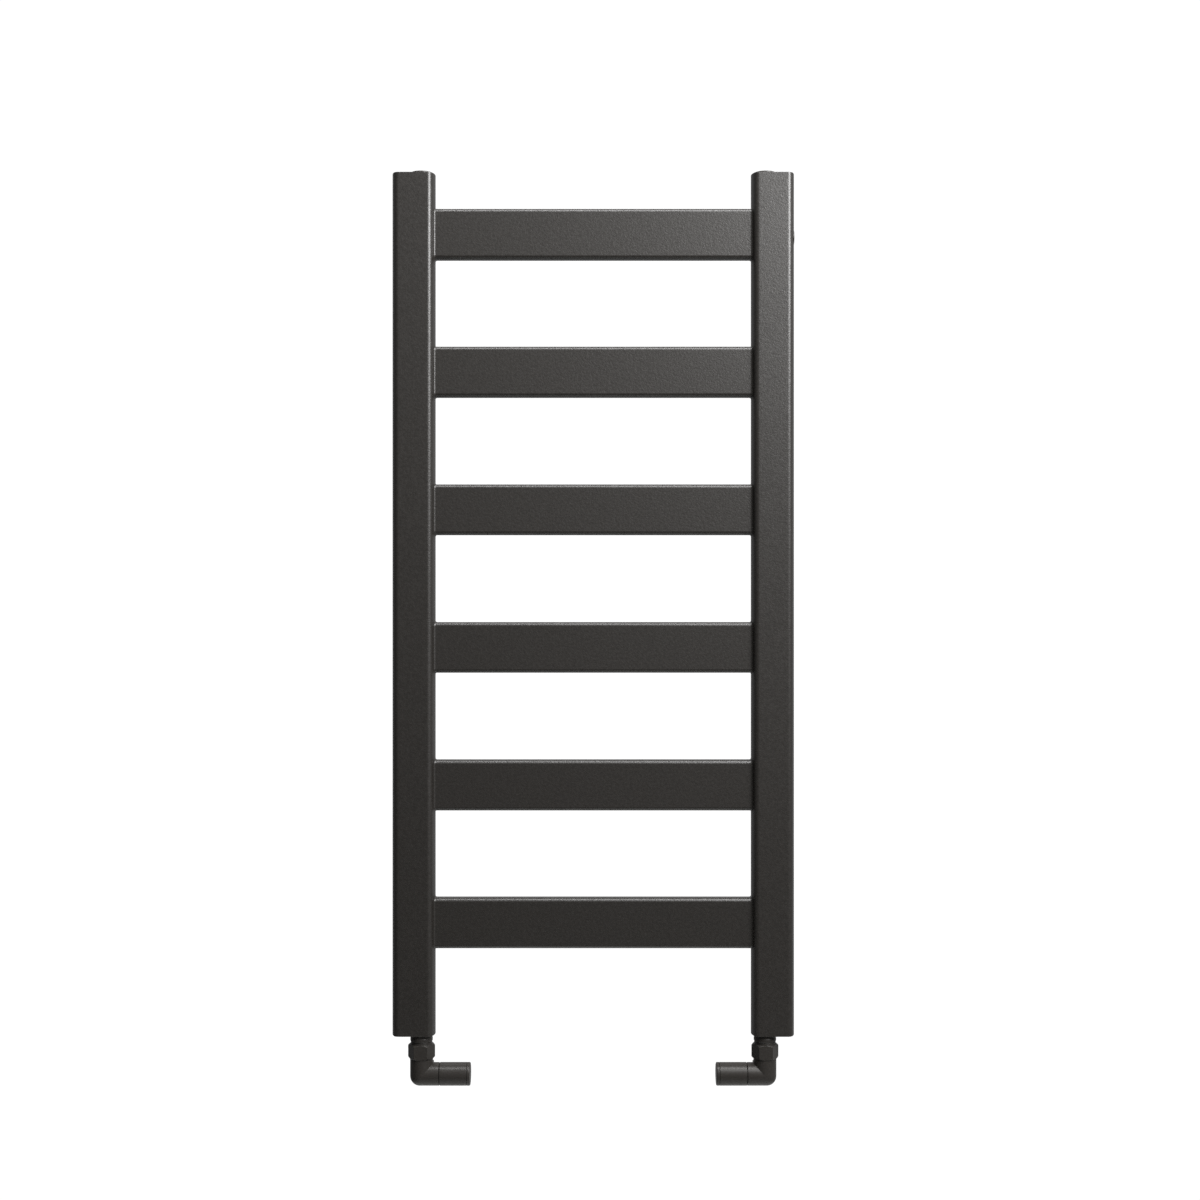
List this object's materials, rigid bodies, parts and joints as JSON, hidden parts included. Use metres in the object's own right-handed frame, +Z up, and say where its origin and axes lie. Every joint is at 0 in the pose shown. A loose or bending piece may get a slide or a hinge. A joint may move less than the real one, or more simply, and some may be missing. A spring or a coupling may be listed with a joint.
{
  "type": "ladder towel radiator",
  "caption": "Wall-hung ladder towel radiator: two uprights, flat horizontal bars, wall posts and a corner valve with a turning head under each upright.",
  "frame": {"origin": "centre of the four wall-screw holes, in the wall plane", "axes": "+Z up along the uprights, +Y into the wall, -Y is the front, +X to the right seen from the front"},
  "size_m": [0.5, 0.08, 1.1372],
  "materials": {
    "powder_coat": "fine-texture matt powder coat, anthracite",
    "valve_satin": "satin black plating on brass",
    "brass": "machined brass",
    "steel": "zinc-plated steel",
    "rubber": "moulded rubber"
  },
  "bodies": {
    "radiator": {"left_upright": "powder_coat", "right_upright": "powder_coat", "left_top_end_plate": "powder_coat", "left_bottom_end_plate": "powder_coat", "right_top_end_plate": "powder_coat", "right_bottom_end_plate": "powder_coat", "towel_bar_1": "powder_coat", "towel_bar_2": "powder_coat", "towel_bar_3": "powder_coat", "towel_bar_4": "powder_coat", "towel_bar_5": "powder_coat", "towel_bar_6": "powder_coat", "left_weld_beads": "powder_coat", "right_weld_beads": "powder_coat", "left_top_plug": "valve_satin", "right_top_plug": "valve_satin", "left_plug_seal": "rubber", "right_plug_seal": "rubber", "left_tail_seal": "rubber", "right_tail_seal": "rubber", "vent_boss": "steel", "vent_plug": "valve_satin", "vent_seal": "rubber", "bracket_pins": "steel", "stud_bosses": "steel", "grub_screws": "steel", "upper_left_wall_post": "powder_coat", "upper_right_wall_post": "powder_coat", "lower_left_wall_post": "powder_coat", "lower_right_wall_post": "powder_coat", "left_valve_tail": "valve_satin", "left_union_nut": "valve_satin", "left_union_washer": "rubber", "left_valve_body": "valve_satin", "left_valve_bonnet": "valve_satin", "left_stem_seal": "rubber", "left_head_clip": "steel", "left_inlet_nut": "valve_satin", "left_inlet_olive": "brass", "right_valve_tail": "valve_satin", "right_union_nut": "valve_satin", "right_union_washer": "rubber", "right_valve_body": "valve_satin", "right_valve_bonnet": "valve_satin", "right_stem_seal": "rubber", "right_head_clip": "steel", "right_inlet_nut": "valve_satin", "right_inlet_olive": "brass"},
    "left_head": {"left_valve_head": "valve_satin", "left_valve_head_cap": "valve_satin"},
    "left_spindle": {"left_valve_spindle": "brass", "left_seat_washer": "rubber"},
    "right_head": {"right_valve_head": "valve_satin", "right_valve_head_cap": "valve_satin"},
    "right_spindle": {"right_valve_spindle": "brass", "right_seat_washer": "rubber"},
    "bleed_screw": {"bleed_screw": "steel"}
  },
  "joints": [
    {"name": "left_head_turn", "type": "hinge", "parent": "radiator", "child": "left_head", "pos_m": [-0.18, -0.063, -0.5854], "axis": [1, 0, 0], "range_deg": [0, 900]},
    {"name": "left_spindle_lift", "type": "slide", "parent": "left_head", "child": "left_spindle", "axis": [1, 0, 0], "range_m": [0, 0.00313]},
    {"name": "right_head_turn", "type": "hinge", "parent": "radiator", "child": "right_head", "pos_m": [0.18, -0.063, -0.5854], "axis": [-1, 0, 0], "range_deg": [0, 900]},
    {"name": "right_spindle_lift", "type": "slide", "parent": "right_head", "child": "right_spindle", "axis": [-1, 0, 0], "range_m": [0, 0.00313]},
    {"name": "bleed_screw_turn", "type": "hinge", "parent": "radiator", "child": "bleed_screw", "pos_m": [0.245, -0.063, 0.456], "axis": [1, 0, 0], "range_deg": [0, 360]}
  ],
  "couplings": [
    {"joint": "left_spindle_lift", "follows": "left_head_turn", "m_per_rad": 0.00019894},
    {"joint": "right_spindle_lift", "follows": "right_head_turn", "m_per_rad": 0.00019894}
  ]
}
